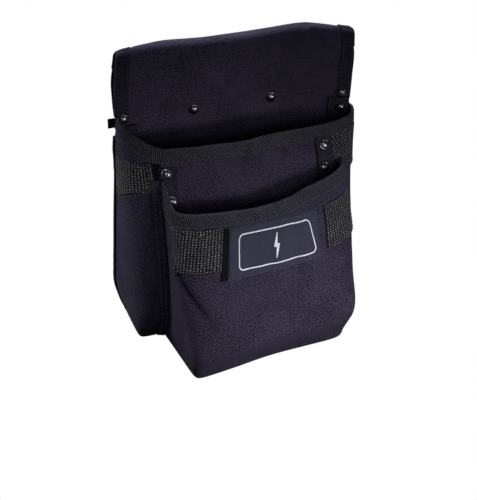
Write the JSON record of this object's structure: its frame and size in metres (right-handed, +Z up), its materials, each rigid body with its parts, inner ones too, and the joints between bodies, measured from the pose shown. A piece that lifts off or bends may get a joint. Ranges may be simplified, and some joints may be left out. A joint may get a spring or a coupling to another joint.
{
  "type": "two-pocket belt tool pouch",
  "caption": "Woven nylon belt pouch with a belt tunnel, a deep rear pocket and a shorter front pocket, edged with ribbed tape and riveted at the corners.",
  "frame": {"origin": "bottom centre of the whole pouch's box, on the surface that it stands on", "axes": "+Z up along the back panel, +X to the right when the pockets face the viewer, -Y towards the front"},
  "size_m": [0.224, 0.1428, 0.2609],
  "materials": {
    "cloth": "heavy plain-weave nylon, dull with a faint sheen",
    "tape": "ribbed edging tape",
    "webbing": "herringbone webbing with light flecks",
    "label": "smooth coated label cloth",
    "print": "raised light print",
    "rivet": "domed dark nickel"
  },
  "bodies": {
    "root": {"back_panel": "cloth", "belt_tunnel_flap": "cloth", "flap_hem_tape": "tape", "tunnel_binding_left": "tape", "tunnel_binding_right": "tape", "side_binding_left": "tape", "side_binding_right": "tape", "rear_pocket_shell": "cloth", "rear_pocket_base": "cloth", "rear_rim_binding": "tape", "rear_corner_tab_left": "tape", "rear_corner_tab_right": "tape", "front_corner_tab_left": "tape", "front_corner_tab_right": "tape", "rear_webbing_left": "webbing", "rear_webbing_right": "webbing", "front_pocket_shell": "cloth", "front_pocket_base": "cloth", "front_rim_binding": "tape", "front_webbing_left": "webbing", "front_webbing_right": "webbing", "label_patch": "label", "label_border": "print", "label_bolt": "print", "tunnel_rivet_caps": "rivet", "tunnel_rivet_posts": "rivet", "corner_rivet_caps": "rivet", "corner_rivet_posts": "rivet", "pocket_rivet_caps": "rivet", "pocket_rivet_posts": "rivet"}
  },
  "joints": []
}
